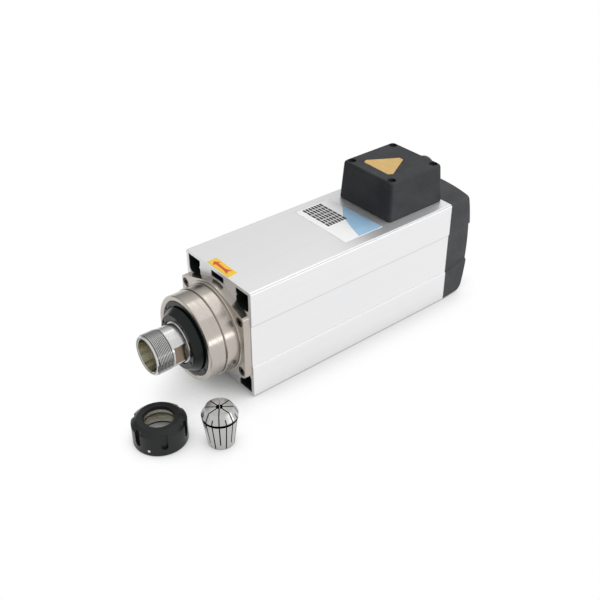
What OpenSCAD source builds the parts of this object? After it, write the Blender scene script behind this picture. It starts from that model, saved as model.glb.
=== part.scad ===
// Air-cooled motor spindle with a collet nose, terminal box and loose clamping set.
// Millimetres. The shaft axis is Y, the nose points to -Y, +Z is up.
// The origin is on the shaft axis in the front face of the extruded housing.

/* [Housing] */
// Width of the extruded housing, side to side
body_w = 102; // [101:0.5:108]
// Height of the extruded housing; the shaft axis sits at half of it
body_h = 117.5; // [117:0.5:124]
// Length of the extruded housing
body_len = 258.5; // [250:0.5:300]
// Radius of the four long outer corners
corner_r = 2.5; // [1:0.5:4]
// Radius of the bore that holds the stator
bore_r = 43.5; // [42.5:0.5:44]
// Wall between the stator bore and the air channels
bore_wall = 3.2; // [2.5:0.1:3.5]
// Outer wall beside the air channels
side_wall = 3.6; // [3:0.1:4.2]
// Half height of the sunk band along each side
band_half = 23.3; // [18:0.1:26]
// Depth of the sunk side band
band_depth = 0.9; // [0.5:0.1:1.5]
// Half width of the web between the corner channels
web_half = 28.5; // [26:0.5:31]
// Half width of the middle air channels at top and bottom
slot_half = 9.7; // [7:0.1:11]
// Height of the middle air channels
slot_h = 6.4; // [4:0.1:7]

/* [Front bearing housing] */
// Thickness of the front flange
flange_t = 8; // [7.5:0.5:10]
// Radius of the round middle of the flange
flange_r = 47.8; // [47:0.1:49]
// Step from the side of the housing to the flange ears
ear_inset = 1.7; // [1:0.1:2.5]
// Half height of the flange across its ears
ear_half_h = 34.5; // [33.5:0.1:36]
// Corner radius of the flange ears
ear_r = 3.5; // [2:0.5:5]
// Distance of the flange screws from the side of the housing
screw_inset = 7.8; // [7.5:0.1:8.5]
// Half spacing of the flange screws, up and down
screw_z = 28; // [26:0.5:29]
// Length of the barrel in front of the housing
barrel_len = 40; // [38:0.5:46]
// Radius of the front step of the barrel
step_r = 42.7; // [41.5:0.1:43.2]
// Radius of the rear step of the barrel
rear_step_r = 43.8; // [43.3:0.1:45]
// Distance of the groove between both steps from the housing
groove_back = 24; // [18:0.5:28]
// Radius of the lip ring at the root of the barrel
lip_r = 46; // [45.4:0.1:46.4]

/* [Shaft] */
// Distance of the nose face from the housing
nose_len = 81; // [76:0.5:90]
// Pitch radius of the nose thread, M40 x 1.5
thread_r = 19.5; // [19.4:0.05:19.6]
// Length of the nose thread
thread_len = 17.5; // [12:0.5:19]
// Radius of the plain shank behind the thread
shank_r = 19.4; // [19:0.1:19.8]
// Half distance across the spanner flats
flat_half = 16.8; // [16.5:0.1:18]
// Mouth radius of the collet taper
taper_r = 15.9; // [15.5:0.1:16.2]
// Depth of the collet taper
taper_len = 29; // [25:0.5:32]
// Half angle of the collet taper, degrees
taper_angle = 8; // [7.5:0.1:8.5]

/* [Bearings] */
// Bore radius of the two front bearings
front_bore_r = 17.5; // [17:0.5:17.5]
// Outer radius of the two front bearings
front_outer_r = 36; // [35.5:0.5:36]
// Width of one front bearing
front_width = 17; // [16:0.5:17]
// Bore radius of the rear bearing
rear_bore_r = 12.5; // [12:0.5:13]
// Outer radius of the rear bearing
rear_outer_r = 26; // [25.5:0.5:27]
// Width of the rear bearing
rear_width = 15; // [13:0.5:15]

/* [Motor] */
// Distance of the stator stack from the housing front
stack_start = 56; // [50:1:66]
// Length of the stator and rotor stacks
stack_len = 120; // [90:1:125]
// Radius of the rotor stack
rotor_r = 25; // [24:0.5:25.5]
// Air gap between rotor and stator
air_gap = 0.6; // [0.5:0.1:1]
// Number of stator slots
slot_count = 24; // [18:6:24]

/* [Rear cover and fan] */
// Radius of the domed back, seen from above
dome_r = 170; // [160:5:200]
// Radius of the domed back, seen from the side
dome_side_r = 250; // [230:5:300]
// Length of the cover at its middle
cover_len = 42.5; // [42:0.5:46]
// Wall thickness of the cover
cover_wall = 2.2; // [2:0.1:2.4]
// Draft of the cover sides towards the back
cover_draft = 2.4; // [1:0.1:3]
// Radius of the large rounding under the back of the cover
toe_r = 13; // [8:1:16]
// Depth of the sunk side bands at the back of the cover
band_back = 2.7; // [1:0.1:3]
// Radius of the fan
fan_r = 42; // [36:0.5:43]
// Number of fan blades
blade_count = 9; // [7:1:11]

/* [Terminal box] */
// Side length of the box at its foot
box_foot = 75.5; // [74.5:0.5:79]
// Side length of the box at its top
box_top = 71; // [69:0.5:73]
// Height of the box with its gasket
box_h = 41.5; // [40:0.5:48]
// Wall thickness of the box
box_wall = 2.6; // [2.2:0.1:3]
// Distance of the box screws from the top edge of the box
box_screw_inset = 6.5; // [6:0.1:8]
// Height of the cable gland axis above the housing
gland_up = 20.5; // [19:0.5:22]

/* [Clamping nut and collet] */
// Outer radius of the clamping nut
nut_r = 25; // [24.5:0.5:26]
// Height of the clamping nut
nut_h = 25; // [23.5:0.5:26]
// Radius of the front opening of the nut
nut_mouth_r = 14.2; // [13.5:0.1:15]
// Place of the nut on the floor, right of the axis
nut_x = 41.6; // [30:0.1:60]
// Place of the nut on the floor, in front of the housing
nut_y = -98.2; // [-120:0.1:-95]
// Head radius of the collet
collet_r = 16.5; // [16:0.1:16.5]
// Length of the collet
collet_len = 40; // [38:0.5:42]
// Bore radius of the collet
collet_bore = 3; // [1.5:0.5:8]
// Place of the collet on the floor, right of the axis
collet_x = 80; // [72:0.1:100]
// Place of the collet on the floor, in front of the housing
collet_y = -58.7; // [-75:0.1:-50]

/* [Hidden] */
$fn = 96;
floor_z = -body_h / 2;
top_z = body_h / 2;
half_w = body_w / 2;
// running and push fits, radial
push_fit = 0.02;
slide_fit = 0.05;
ball_gap = 0.35;

// front bearings, counted back from the shaft shoulder
front_seat = -barrel_len + 4;
front_end = front_seat + 2 * front_width;
lock_thread_r = front_outer_r + 1.4;
lock_sink = 0.4;
collar_r = 20.75;
hub_front = -48.5;
spigot_len = 10;
locknut_len = 9;
locknut_r = 24;

// rear bearing, carried by the rear shield
shield_t = 6.5;
spring_h = 2;
rear_seat = body_len + shield_t - 2 - spring_h - rear_width;
rear_end = rear_seat + rear_width;
core_r = 16;
fan_seat_r = 10;
tail_r = 8;
fan_start = body_len + 9;
fan_h = 13;
shaft_end = fan_start + fan_h + 5.5;

// socket head screws of the ends, M5
m5_r = 2.5;
m5_head_r = 4.25;
m5_head_h = 5;
// cover and box screws, M4
m4_r = 2;
m4_head_r = 3.5;
m4_head_h = 4;
cover_screw_x = 19.1;
cover_screw_z = sqrt(pow(bore_r + 8, 2) - pow(cover_screw_x, 2));
cover_screw_seat = 8;

ear_half_w = half_w - ear_inset;
screw_x = half_w - screw_inset;
stator_inner = rotor_r + air_gap;
dome_y = body_len + cover_len;

// tapped holes in the bottom for bolting the spindle down, M8
base_hole_x = 19;
base_hole_y = [60, 190];

// terminal box: middle of its foot, gasket, screws and gland seat
box_y = body_len - 39;
gasket_t = 1.2;
box_screw_sink = 6;
box_edge_h = 3;
box_lean = (box_foot - box_top) / 2 / (box_h - gasket_t - box_edge_h);
box_base_z = top_z + gasket_t;
box_screw = box_top / 2 - box_screw_inset;
box_post_r = 6;
box_recess_r = 4.3;
lead_hole_y = box_y - 22;
board_y = box_y + 4;
board_foot_x = 14;
earth_x = 22;
earth_y = box_y - 20;
gland_z = top_z + gland_up;
gland_proud = 0.6;
gland_boss_r = 15.2;
// how far the box leans, either way, up to the top of the gland boss
gland_lean = box_lean * (gland_up + gland_boss_r);
gland_seat = box_y + box_foot / 2 + gland_proud + max(0, -gland_lean);
gland_boss_t = gland_proud + abs(gland_lean) + box_wall + 0.65;
gland_thread_r = 10;
gland_bore_r = 7.5;
gland_hex_w = 27;
gland_hex_t = 4;
gland_nut_w = 26;
gland_nut_t = 4;
gland_sleeve = 11.5;
gland_tail = gland_boss_t + gland_nut_t + 1.5;

// Pull a flat outline (x, z) along the shaft axis from y0 to y1.
module along_y(y0, y1) {
    translate([0, y1, 0])
        rotate([90, 0, 0])
            linear_extrude(height = y1 - y0)
                children();
}

// Turn a half section, given as (radius, y) points, around the shaft axis.
module turned(section) {
    rotate([-90, 0, 0])
        rotate_extrude()
            polygon(section);
}

// Round bar along the shaft axis.
module bar_y(r, y0, y1) {
    translate([0, y1, 0])
        rotate([90, 0, 0])
            cylinder(r = r, h = y1 - y0);
}

// Six-sided bar along the shaft axis, measured across its flats.
module hex_y(across, y0, y1) {
    translate([0, y1, 0])
        rotate([90, 0, 0])
            cylinder(r = across / 2 / cos(30), h = y1 - y0, $fn = 6);
}

// Ring section with both edges square.
function ring_section(r0, r1, y0, y1) = [[r0, y0], [r1, y0], [r1, y1], [r0, y1]];

// Rectangle with round corners.
module round_rect(w, h, r) {
    square([w - 2 * r, h], center = true);
    square([w, h - 2 * r], center = true);
    for (sx = [-1, 1], sz = [-1, 1])
        translate([sx * (w / 2 - r), sz * (h / 2 - r)])
            circle(r = r);
}

// Copy the children to all four corners of the section.
module four_corners() {
    for (sx = [0, 1], sz = [0, 1])
        mirror([sx, 0, 0])
            mirror([0, 0, sz])
                children();
}

// Round middle with four ears, as straight tangents joined to the disc.
module eared_outline(disc, half_x, half_z, er) {
    a = half_x - er;
    b = half_z - er;
    lean = atan2(b, a) + acos((disc - er) / sqrt(a * a + b * b));
    circle(r = disc);
    for (sx = [-1, 1], sz = [-1, 1]) {
        translate([sx * a, sz * b])
            circle(r = er);
        polygon([
            [0, 0],
            [sx * disc * cos(lean), sz * disc * sin(lean)],
            [sx * (a + er * cos(lean)), sz * (b + er * sin(lean))],
            [sx * a, sz * b],
            [sx * half_x, sz * b],
            [sx * half_x, 0]
        ]);
    }
}

// Extruded housing

// One corner air channel, upper right, with the small guide rib on its inner wall.
module corner_channel() {
    outer_x = half_w - side_wall - 0.2;
    low_z = 36.4;
    high_z = top_z - side_wall + 0.3;
    foot_r = 4;
    rib_r = 1.3;
    difference() {
        union() {
            translate([web_half, low_z])
                square([outer_x - web_half - foot_r, high_z - low_z]);
            translate([web_half, low_z + foot_r])
                square([outer_x - web_half, high_z - low_z - foot_r]);
            translate([outer_x - foot_r, low_z + foot_r])
                circle(r = foot_r);
        }
        circle(r = bore_r + bore_wall);
        translate([web_half, 48])
            circle(r = rib_r);
    }
}

module body_section() {
    difference() {
        round_rect(body_w, body_h, corner_r);
        circle(r = bore_r);
        for (sx = [-1, 1])
            translate([sx * half_w, 0])
                square([2 * band_depth, 2 * band_half], center = true);
        for (sx = [0, 1], sz = [0, 1])
            mirror([sx, 0])
                mirror([0, sz])
                    corner_channel();
        for (sz = [-1, 1])
            translate([0, sz * (top_z - side_wall - slot_h / 2)])
                square([2 * slot_half, slot_h], center = true);
    }
}

// Extrusion cut to length, with the tapped holes of everything bolted to it.
module motor_body() {
    tap_depth = 14;
    base_tap_r = 4;
    base_depth = 12;
    lead_hole_r = 6;
    board_tap_r = 1.5;
    box_tap_depth = 8;
    color([0.86, 0.87, 0.88])
        difference() {
            along_y(0, body_len)
                body_section();
            four_corners() {
                translate([screw_x, 0, screw_z]) {
                    bar_y(m5_r, -1, tap_depth);
                    bar_y(m5_r, body_len - tap_depth, body_len + 1);
                }
                translate([cover_screw_x, 0, cover_screw_z])
                    bar_y(m4_r, body_len - tap_depth, body_len + 1);
            }
            // lead hole and tapped holes under the terminal box
            translate([0, lead_hole_y, bore_r - 2])
                cylinder(r = lead_hole_r, h = top_z - bore_r + 3);
            for (sx = [-1, 1], sy = [-1, 1])
                translate([sx * box_screw, box_y + sy * box_screw, top_z - box_tap_depth])
                    cylinder(r = m4_r, h = box_tap_depth + 1);
            for (sx = [-1, 1])
                translate([sx * board_foot_x, board_y, top_z - box_tap_depth])
                    cylinder(r = board_tap_r, h = box_tap_depth + 1);
            translate([earth_x, earth_y, top_z - box_tap_depth])
                cylinder(r = m4_r, h = box_tap_depth + 1);
            for (sx = [-1, 1], y = base_hole_y)
                translate([sx * base_hole_x, y, floor_z - 1])
                    cylinder(r = base_tap_r, h = base_depth + 1);
        }
}

// Front bearing housing

module bearing_housing() {
    rim = 0.9;
    groove_w = 1.2;
    groove_depth = 1;
    lip_t = 1.6;
    lip_edge = 0.5;
    nut_room = 2.5;
    front = -barrel_len;
    groove = -groove_back;
    lip_front = -flange_t - lip_t;
    section = [
        [lock_thread_r, front + rim],
        [lock_thread_r + rim, front],
        [step_r - rim, front],
        [step_r, front + rim],
        [step_r, groove],
        [step_r - groove_depth, groove],
        [step_r - groove_depth, groove + groove_w],
        [rear_step_r - 0.4, groove + groove_w],
        [rear_step_r, groove + groove_w + 0.4],
        [rear_step_r, lip_front - 0.8],
        [rear_step_r - lip_edge, lip_front - 0.8],
        [rear_step_r - lip_edge, lip_front],
        [lip_r - lip_edge, lip_front],
        [lip_r, lip_front + lip_edge],
        [lip_r, -flange_t / 2],
        [bore_r - slide_fit, -flange_t / 2],
        [bore_r - slide_fit, spigot_len],
        [locknut_r + nut_room, spigot_len],
        [locknut_r + nut_room, front_end + 4],
        [front_outer_r - 4, front_end],
        [front_outer_r + push_fit, front_end],
        [front_outer_r + push_fit, front_seat],
        [lock_thread_r, front_seat]
    ];
    color([0.72, 0.69, 0.64])
        difference() {
            union() {
                turned(section);
                along_y(-flange_t, 0)
                    difference() {
                        eared_outline(flange_r, ear_half_w, ear_half_h, ear_r);
                        circle(r = lip_r - 3);
                    }
            }
            four_corners()
                translate([screw_x, 0, screw_z]) {
                    bar_y(m5_r + 0.25, -flange_t - 2, 1);
                    bar_y(m5_head_r + 0.4, -flange_t - 3, -flange_t + m5_head_h + 0.4);
                }
        }
}

// Socket head screw lying along the axis, seat of its head at y, thread towards +Y.
module socket_screw(r, head_r, head_h, seat, reach, across) {
    difference() {
        union() {
            bar_y(head_r, seat - head_h, seat);
            bar_y(r - slide_fit, seat - 1, seat + reach);
        }
        hex_y(across, seat - head_h - 1, seat - head_h / 2);
    }
}

module flange_screws() {
    seat = -flange_t + m5_head_h + 0.4;
    shank = 14;
    key = 4;
    color([0.18, 0.18, 0.19])
        four_corners()
            translate([screw_x, 0, screw_z])
                socket_screw(m5_r, m5_head_r, m5_head_h, seat, shank, key);
}

// Black ring screwed into the barrel; it holds the outer rings and has four pin holes.
module front_lock_ring() {
    face = -barrel_len + lock_sink;
    step = 33.2;
    inner = 26.4;
    pin_circle = 35.2;
    pin_r = 1.3;
    first_pin = -149;
    section = [
        [inner, face + 1.4],
        [step, face + 1.4],
        [step, face],
        [lock_thread_r - slide_fit - 0.4, face],
        [lock_thread_r - slide_fit, face + 0.4],
        [lock_thread_r - slide_fit, front_seat],
        [inner, front_seat]
    ];
    color([0.16, 0.17, 0.17])
        difference() {
            turned(section);
            for (k = [0:3])
                rotate([0, first_pin - 90 * k, 0])
                    translate([pin_circle, 0, 0])
                        bar_y(pin_r, face - 1, face + 2.4);
        }
}

// Rotating black cone in front of the bearings, with four pin holes in its face.
module labyrinth_hub() {
    back = front_seat - 0.6;
    skirt = -barrel_len + 0.6;
    skirt_r = 31.9;
    face_r = 27.4;
    sleeve_r = 26;
    pin_circle = 24.3;
    pin_r = 1.4;
    first_pin = -152;
    section = [
        [collar_r + push_fit, hub_front + 1.2],
        [collar_r + 1, hub_front + 1.2],
        [collar_r + 1, hub_front],
        [face_r - 0.6, hub_front],
        [face_r, hub_front + 0.5],
        [skirt_r - 0.5, -barrel_len - 2],
        [skirt_r, -barrel_len - 1.2],
        [skirt_r, skirt],
        [sleeve_r, skirt],
        [sleeve_r, back],
        [collar_r + push_fit, back]
    ];
    color([0.2, 0.21, 0.21])
        difference() {
            turned(section);
            for (k = [0:3])
                rotate([0, first_pin - 90 * k, 0])
                    translate([pin_circle, 0, 0])
                        bar_y(pin_r, hub_front - 1, hub_front + 3);
        }
}

// Shaft

module spindle_shaft() {
    nose = -nose_len;
    neck = nose + thread_len;
    throat = nose + taper_len;
    throat_r = taper_r - taper_len * tan(taper_angle);
    mouth = 0.6;
    section = [
        [taper_r + mouth, nose],
        [thread_r - 0.9, nose],
        [thread_r, nose + 0.9],
        [thread_r, neck - 0.5],
        [shank_r, neck],
        [shank_r, hub_front + 0.4],
        [collar_r - 0.4, hub_front + 0.4],
        [collar_r, hub_front + 0.8],
        [collar_r, front_seat],
        [front_bore_r, front_seat],
        [front_bore_r, front_end + locknut_len],
        [core_r, front_end + locknut_len + 1.5],
        [core_r, rear_seat],
        [rear_bore_r, rear_seat],
        [rear_bore_r, rear_end],
        [fan_seat_r, rear_end],
        [fan_seat_r, fan_start + fan_h - 0.5],
        [tail_r, fan_start + fan_h - 0.5],
        [tail_r, shaft_end - 0.8],
        [tail_r - 0.8, shaft_end],
        [0, shaft_end],
        [0, throat + 24],
        [throat_r - 0.5, throat + 18],
        [throat_r - 0.5, throat],
        [throat_r, throat],
        [taper_r, nose + mouth]
    ];
    flat_start = neck + 1.3;
    flat_end = hub_front - 0.9;
    color([0.75, 0.75, 0.74])
        difference() {
            turned(section);
            for (sx = [-1, 1])
                translate([sx * (flat_half + 5), (flat_start + flat_end) / 2, 0])
                    cube([10, flat_end - flat_start, 2 * collar_r + 2], center = true);
        }
}

// Rolling bearings

// Outer ring with its ball groove.
module outer_ring(r1, wall, y0, w, pitch, ball) {
    rotate([-90, 0, 0])
        rotate_extrude()
            difference() {
                translate([r1 - wall, y0])
                    square([wall, w]);
                translate([pitch, y0 + w / 2])
                    circle(r = ball + ball_gap);
            }
}

// Inner ring with its ball groove.
module inner_ring(r0, wall, y0, w, pitch, ball) {
    rotate([-90, 0, 0])
        rotate_extrude()
            difference() {
                translate([r0 + push_fit, y0])
                    square([wall, w]);
                translate([pitch, y0 + w / 2])
                    circle(r = ball + ball_gap);
            }
}

module ball_set(count, pitch, ball, y) {
    for (k = [0 : count - 1])
        rotate([0, k * 360 / count, 0])
            translate([pitch, y, 0])
                sphere(r = ball);
}

// Cage ring with one pocket for each ball.
module ball_cage(count, pitch, ball, half, y) {
    difference() {
        turned(ring_section(pitch - half, pitch + half, y - ball - 0.8, y + ball + 0.8));
        for (k = [0 : count - 1])
            rotate([0, k * 360 / count, 0])
                translate([pitch - half - 2, y, 0])
                    rotate([0, 90, 0])
                        cylinder(r = ball + 0.12, h = 2 * half + 4);
    }
}

front_pitch = (front_bore_r + front_outer_r) / 2;
front_ball = 5.2;
front_count = 12;
rear_count = 10;
front_mid_a = front_seat + front_width / 2;
front_mid_b = front_mid_a + front_width;
rear_pitch = (rear_bore_r + rear_outer_r) / 2;
rear_ball = 3.7;
rear_mid = rear_seat + rear_width / 2;

module front_outer_rings() {
    color([0.78, 0.78, 0.79])
        for (y = [front_seat, front_seat + front_width])
            outer_ring(front_outer_r, 5.4, y + 0.02, front_width - 0.04, front_pitch, front_ball);
}

module front_inner_rings() {
    color([0.78, 0.78, 0.79])
        for (y = [front_seat, front_seat + front_width])
            inner_ring(front_bore_r, 5.2, y + 0.02, front_width - 0.04, front_pitch, front_ball);
}

module front_balls_a() {
    color([0.85, 0.85, 0.86])
        ball_set(front_count, front_pitch, front_ball, front_mid_a);
}

module front_cage_a() {
    color([0.72, 0.58, 0.3])
        ball_cage(front_count, front_pitch, front_ball, 2, front_mid_a);
}

module front_balls_b() {
    color([0.85, 0.85, 0.86])
        ball_set(front_count, front_pitch, front_ball, front_mid_b);
}

module front_cage_b() {
    color([0.72, 0.58, 0.3])
        ball_cage(front_count, front_pitch, front_ball, 2, front_mid_b);
}

// Slotted nut that clamps both inner rings against the shaft collar.
module bearing_locknut() {
    color([0.3, 0.3, 0.31])
        difference() {
            turned([
                [front_bore_r + slide_fit, front_end],
                [22.4, front_end],
                [22.4, front_end + 1.5],
                [locknut_r - 0.6, front_end + 1.5],
                [locknut_r, front_end + 2.1],
                [locknut_r, front_end + locknut_len - 0.6],
                [locknut_r - 0.6, front_end + locknut_len],
                [front_bore_r + slide_fit, front_end + locknut_len]
            ]);
            for (k = [0:3])
                rotate([0, 45 + 90 * k, 0])
                    translate([locknut_r, front_end + locknut_len, 0])
                        cube([6, 10, 5], center = true);
        }
}

// Electric parts

// Laminated rotor stack with a hole for every cast bar.
bar_count = 28;
bar_r = 1.7;
bar_ring = rotor_r - 3;

module rotor_core() {
    color([0.5, 0.5, 0.52])
        along_y(stack_start, stack_start + stack_len)
            difference() {
                circle(r = rotor_r);
                circle(r = core_r + push_fit);
                for (k = [0 : bar_count - 1])
                    rotate(k * 360 / bar_count)
                        translate([bar_ring, 0])
                            circle(r = bar_r + 0.03);
            }
}

// Cast aluminium bars joined by a ring at each end.
module rotor_cage() {
    ring_w = 7;
    far = stack_start + stack_len;
    color([0.8, 0.81, 0.82]) {
        union() {
            turned(ring_section(core_r + 1, rotor_r - 0.5, stack_start - ring_w, stack_start - 0.02));
            turned(ring_section(core_r + 1, rotor_r - 0.5, far + 0.02, far + ring_w));
            for (k = [0 : bar_count - 1])
                rotate([0, -k * 360 / bar_count, 0])
                    translate([bar_ring, 0, 0])
                        bar_y(bar_r, stack_start - 1, far + 1);
        }
    }
}

tooth_tip = 1.2;
slot_depth = 9;
slot_w = 4.4;

// Outline of one winding slot, shrunk by a gap for its copper.
module slot_shape(gap) {
    r0 = stator_inner + tooth_tip + slot_w / 2;
    r1 = r0 + slot_depth;
    translate([r0, -slot_w / 2 + gap])
        square([slot_depth, slot_w - 2 * gap]);
    for (r = [r0, r1])
        translate([r, 0])
            circle(r = slot_w / 2 - gap);
}

module stator_core() {
    color([0.42, 0.43, 0.46])
        along_y(stack_start, stack_start + stack_len)
            difference() {
                circle(r = bore_r - push_fit);
                circle(r = stator_inner);
                for (k = [0 : slot_count - 1])
                    rotate(k * 360 / slot_count) {
                        slot_shape(0);
                        translate([stator_inner - 1, -0.9])
                            square([tooth_tip + slot_w, 1.8]);
                    }
            }
}

// Copper in the slots with a laced ring of coil ends at each side.
module stator_windings() {
    far = stack_start + stack_len;
    coil_len = 22;
    r0 = stator_inner + 2.2;
    r1 = r0 + 13;
    soft = 4;
    color([0.66, 0.36, 0.2])
        union() {
            along_y(stack_start - 3, far + 3)
                for (k = [0 : slot_count - 1])
                    rotate(k * 360 / slot_count)
                        slot_shape(0.15);
            for (side = [0, 1]) {
                y0 = side == 0 ? stack_start - coil_len : far + 1;
                y1 = side == 0 ? stack_start - 1 : far + coil_len;
                rotate([-90, 0, 0])
                    rotate_extrude()
                        translate([(r0 + r1) / 2, (y0 + y1) / 2])
                            round_rect(r1 - r0, y1 - y0, soft);
            }
        }
}

// Rear shield, bearing and fan

module rear_shield() {
    lip = body_len + shield_t;
    wall_r = rear_outer_r + 5;
    shield_r = bore_r + 2.5;
    ear = 4;
    section = [
        [17, lip],
        [17, rear_end + spring_h],
        [rear_outer_r + push_fit, rear_end + spring_h],
        [rear_outer_r + push_fit, rear_seat - 2],
        [wall_r, rear_seat - 2],
        [wall_r + 1.5, body_len - 5],
        [bore_r - 4, body_len - 5],
        [bore_r - 4, body_len - 9],
        [bore_r - slide_fit, body_len - 9],
        [bore_r - slide_fit, body_len],
        [bore_r - 1, lip]
    ];
    color([0.66, 0.67, 0.68])
        difference() {
            union() {
                turned(section);
                along_y(body_len, lip)
                    difference() {
                        eared_outline(shield_r, screw_x + ear, screw_z + ear, ear);
                        circle(r = wall_r + 4);
                    }
            }
            four_corners()
                translate([screw_x, 0, screw_z])
                    bar_y(m5_r + 0.25, body_len - 1, lip + 1);
        }
}

module shield_screws() {
    lip = body_len + shield_t;
    color([0.3, 0.3, 0.31])
        four_corners()
            translate([screw_x, 0, screw_z])
                difference() {
                    union() {
                        bar_y(3.9, lip, lip + 3);
                        bar_y(m5_r - slide_fit, body_len - 11, lip + 1);
                    }
                    hex_y(3, lip + 1.4, lip + 4);
                }
}

module rear_outer_ring() {
    color([0.78, 0.78, 0.79])
        outer_ring(rear_outer_r, 4.2, rear_seat, rear_width, rear_pitch, rear_ball);
}

module rear_inner_ring() {
    color([0.78, 0.78, 0.79])
        inner_ring(rear_bore_r, 4, rear_seat + 0.02, rear_width - 0.04, rear_pitch, rear_ball);
}

module rear_balls() {
    color([0.85, 0.85, 0.86])
        ball_set(rear_count, rear_pitch, rear_ball, rear_mid);
}

module rear_cage() {
    color([0.72, 0.58, 0.3])
        ball_cage(rear_count, rear_pitch, rear_ball, 1.4, rear_mid);
}

// Dished spring washer that pushes the rear bearing forward.
module preload_spring() {
    in_r = 20.8;
    out_r = rear_outer_r - 0.6;
    t = 0.6;
    color([0.55, 0.56, 0.58])
        turned([
            [in_r, rear_end + spring_h - t - 0.02],
            [out_r, rear_end + 0.02],
            [out_r, rear_end + 0.02 + t],
            [in_r, rear_end + spring_h - 0.02]
        ]);
}

// Moulded fan wheel: hub, back plate and straight blades.
module cooling_fan() {
    plate = 1.8;
    blade = 1.6;
    hub_r = 16;
    color([0.25, 0.26, 0.27])
        union() {
            turned([
                [fan_seat_r + push_fit, fan_start],
                [fan_r, fan_start],
                [fan_r, fan_start + plate],
                [hub_r + 4, fan_start + plate],
                [hub_r, fan_start + fan_h - 1],
                [hub_r - 1, fan_start + fan_h],
                [fan_seat_r + push_fit, fan_start + fan_h]
            ]);
            for (k = [0 : blade_count - 1])
                rotate([0, k * 360 / blade_count, 0])
                    translate([hub_r - 1, fan_start + 1, -blade / 2])
                        cube([fan_r - hub_r, fan_h - 2, blade]);
        }
}

module fan_nut() {
    color([0.6, 0.61, 0.63])
        difference() {
            hex_y(24, fan_start + fan_h, fan_start + fan_h + 5);
            bar_y(tail_r + slide_fit, fan_start + fan_h - 1, fan_start + fan_h + 6);
        }
}

// Rear cover

// Drafted block between the housing and the back, made smaller by inset on every side.
module cover_block(inset) {
    front_r = corner_r;
    back_r = corner_r + 1.5;
    lift = 0.3;
    hull()
        for (sx = [-1, 1], sz = [-1, 1]) {
            translate([sx * (half_w - inset - front_r), body_len + 1, sz * (top_z - inset - front_r)])
                rotate([90, 0, 0])
                    cylinder(r = front_r, h = 1, $fn = 32);
            translate([
                sx * (half_w - inset - cover_draft - back_r),
                dome_y,
                sz * (top_z - inset - lift - back_r)
            ])
                rotate([90, 0, 0])
                    cylinder(r = back_r, h = 1, $fn = 32);
        }
}

// Half outline (distance from the upright axis, z) of the back, with its rounded foot.
module back_outline(inset) {
    arc_r = dome_side_r - inset;
    arc_x = dome_r - dome_side_r;
    foot_z = floor_z + toe_r;
    foot_x = arc_x + sqrt(pow(dome_side_r - toe_r, 2) - pow(foot_z, 2));
    reach = 2 * toe_r;
    turn = atan2(foot_z, foot_x - arc_x);
    difference() {
        intersection() {
            translate([arc_x, 0])
                circle(r = arc_r, $fn = 160);
            translate([0, floor_z + inset])
                square([dome_r + 1, body_h]);
        }
        // corner under the back, down to the rounding
        difference() {
            polygon([
                [foot_x, foot_z],
                [foot_x + reach * cos(turn), foot_z + reach * sin(turn)],
                [foot_x + reach, foot_z - reach],
                [foot_x, foot_z - reach]
            ]);
            translate([foot_x, foot_z])
                circle(r = toe_r - inset);
        }
    }
}

// Drafted block cut by the back, which is turned about an upright axis.
module cover_form(inset) {
    intersection() {
        cover_block(inset);
        translate([0, dome_y - dome_r, 0])
            rotate_extrude($fn = 160)
                back_outline(inset);
    }
}

// Space of one sunk side band, deeper towards the back; grow moves its faces into the cover.
module band_space(grow) {
    run = 12;
    edge = 0.8 * run;
    rise = 4.5;
    hull() {
        along_y(body_len - 0.1, body_len)
            polygon([
                [half_w - band_depth - grow, -band_half - grow],
                [half_w + run, -band_half - grow - edge],
                [half_w + run, band_half + grow + edge],
                [half_w - band_depth - grow, band_half + grow]
            ]);
        along_y(dome_y, dome_y + 0.1)
            translate([-cover_draft, 0])
                polygon([
                    [half_w - band_back - grow, -band_half - grow + rise],
                    [half_w + run, -band_half - grow + rise - edge],
                    [half_w + run, band_half + grow + edge],
                    [half_w - band_back - grow, band_half + grow]
                ]);
    }
}

// Rings of curved air slots in the domed back, parted by six spokes.
module grille_slots() {
    ring_gap = 3.2;
    ring_rib = 2.2;
    spoke = 2.6;
    difference() {
        for (k = [0:5]) {
            r = 7 + k * (ring_gap + ring_rib);
            difference() {
                circle(r = r + ring_gap);
                circle(r = r);
            }
        }
        for (k = [0:2])
            rotate(30 + 60 * k)
                square([90, spoke], center = true);
    }
}

// Inside of the cover, open to the front, with a post left at every cover screw.
module cover_hollow() {
    post_r = 4.6;
    band_wall = 1.6;
    difference() {
        union() {
            cover_form(cover_wall);
            along_y(body_len - 1, body_len + 1)
                round_rect(body_w - 2 * cover_wall, body_h - 2 * cover_wall, corner_r);
        }
        four_corners()
            translate([cover_screw_x, 0, cover_screw_z])
                bar_y(post_r, body_len - 2, dome_y);
        for (side = [0, 1])
            mirror([side, 0, 0])
                band_space(band_wall);
    }
}

module rear_cover() {
    seat = body_len + cover_screw_seat;
    inner_back = body_len + cover_len / 3;
    color([0.24, 0.25, 0.26])
        difference() {
            cover_form(0);
            cover_hollow();
            four_corners()
                translate([cover_screw_x, 0, cover_screw_z]) {
                    bar_y(m4_r + 0.2, body_len - 1, dome_y);
                    bar_y(m4_head_r + 0.3, seat, dome_y + 1);
                }
            // sunk side bands that carry on those of the housing
            for (side = [0, 1])
                mirror([side, 0, 0])
                    band_space(0);
            along_y(inner_back, dome_y + 1)
                grille_slots();
        }
}

module rear_cover_screws() {
    seat = body_len + cover_screw_seat;
    color([0.3, 0.3, 0.31])
        four_corners()
            translate([cover_screw_x, 0, cover_screw_z])
                difference() {
                    union() {
                        bar_y(m4_head_r, seat, seat + m4_head_h);
                        bar_y(m4_r - slide_fit, body_len - 11, seat + 1);
                    }
                    hex_y(3, seat + m4_head_h / 2, seat + m4_head_h + 1);
                }
}

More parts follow.
